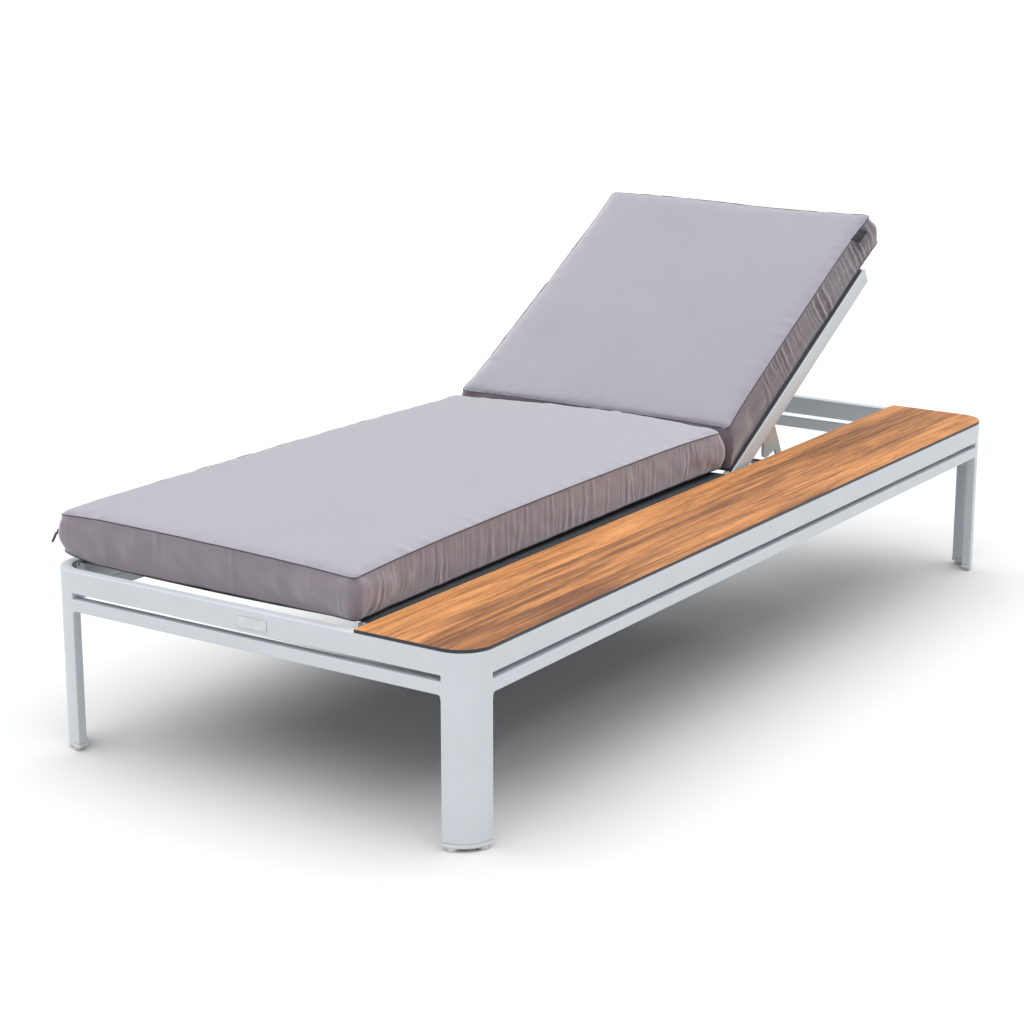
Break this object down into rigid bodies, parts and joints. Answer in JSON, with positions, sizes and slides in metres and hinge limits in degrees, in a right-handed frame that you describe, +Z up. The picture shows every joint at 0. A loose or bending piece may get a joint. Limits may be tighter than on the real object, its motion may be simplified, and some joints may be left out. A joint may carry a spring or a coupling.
{
  "type": "sun lounger",
  "caption": "Low sun lounger with corner legs, a full-length side shelf, thick seat and back cushions, and a backrest that rises on a stay over notched racks.",
  "frame": {"origin": "on the floor, under the middle of the lounger's outline", "axes": "+Z up, +Y from the foot end towards the head end, +X towards the shelf's side"},
  "size_m": [0.91, 2, 0.7918],
  "materials": {
    "frame_paint": "satin",
    "stay_steel": "satin",
    "shelf_laminate": "satin",
    "cushion_cloth": "matte",
    "sling_cloth": "matte",
    "cap_plastic": "matte",
    "glide_plastic": "satin",
    "bush_plastic": "satin"
  },
  "bodies": {
    "base": {"leg_foot_left": "frame_paint", "leg_foot_right": "frame_paint", "leg_head_left": "frame_paint", "leg_head_right": "frame_paint", "leg_cap_foot_left": "cap_plastic", "leg_cap_foot_right": "cap_plastic", "leg_cap_head_left": "cap_plastic", "leg_cap_head_right": "cap_plastic", "glide_foot_left_end": "glide_plastic", "glide_foot_left_side": "glide_plastic", "glide_foot_right_end": "glide_plastic", "glide_foot_right_side": "glide_plastic", "glide_head_left_end": "glide_plastic", "glide_head_left_side": "glide_plastic", "glide_head_right_end": "glide_plastic", "glide_head_right_side": "glide_plastic", "upper_rail_foot": "frame_paint", "upper_rail_head": "frame_paint", "upper_rail_left": "frame_paint", "upper_rail_right": "frame_paint", "lower_rail_foot": "frame_paint", "lower_rail_head": "frame_paint", "lower_rail_left": "frame_paint", "lower_rail_right": "frame_paint", "inner_rail": "frame_paint", "shelf_board": "shelf_laminate", "shelf_bearer_foot": "frame_paint", "shelf_bearer_middle": "frame_paint", "shelf_bearer_head": "frame_paint", "seat_rail_left": "frame_paint", "seat_rail_right": "frame_paint", "seat_cross_foot": "frame_paint", "seat_cross_middle": "frame_paint", "seat_cross_hinge": "frame_paint", "seat_sling": "sling_cloth", "seat_block_foot_left": "frame_paint", "seat_block_foot_right": "frame_paint", "seat_block_hinge_left": "frame_paint", "seat_block_hinge_right": "frame_paint", "hinge_bolt_left": "stay_steel", "hinge_bolt_right": "stay_steel", "hinge_spacer_left": "bush_plastic", "hinge_spacer_right": "bush_plastic", "rack_left": "stay_steel", "rack_right": "stay_steel", "seat_cushion": "cushion_cloth"},
    "backrest": {"back_rail_left": "frame_paint", "back_rail_right": "frame_paint", "back_cross_hinge": "frame_paint", "back_cross_head": "frame_paint", "back_sling": "sling_cloth", "stay_bolt_left": "stay_steel", "stay_bolt_right": "stay_steel", "back_cushion": "cushion_cloth"},
    "stay": {"stay_plate_left": "stay_steel", "stay_plate_right": "stay_steel", "stay_rod": "stay_steel"}
  },
  "joints": [
    {"name": "backrest_hinge", "type": "hinge", "parent": "base", "child": "backrest", "pos_m": [-0.10525, 0.268, 0.3175], "axis": [1, 0, 0], "range_deg": [-30.25, 15]},
    {"name": "stay_pivot", "type": "hinge", "parent": "backrest", "child": "stay", "pos_m": [-0.10525, 0.45753, 0.42803], "axis": [1, 0, 0], "range_deg": [-40.48, 81.64]}
  ],
  "couplings": [
    {"joint": "stay_pivot", "follows": "backrest_hinge", "ratio": -2.699}
  ]
}
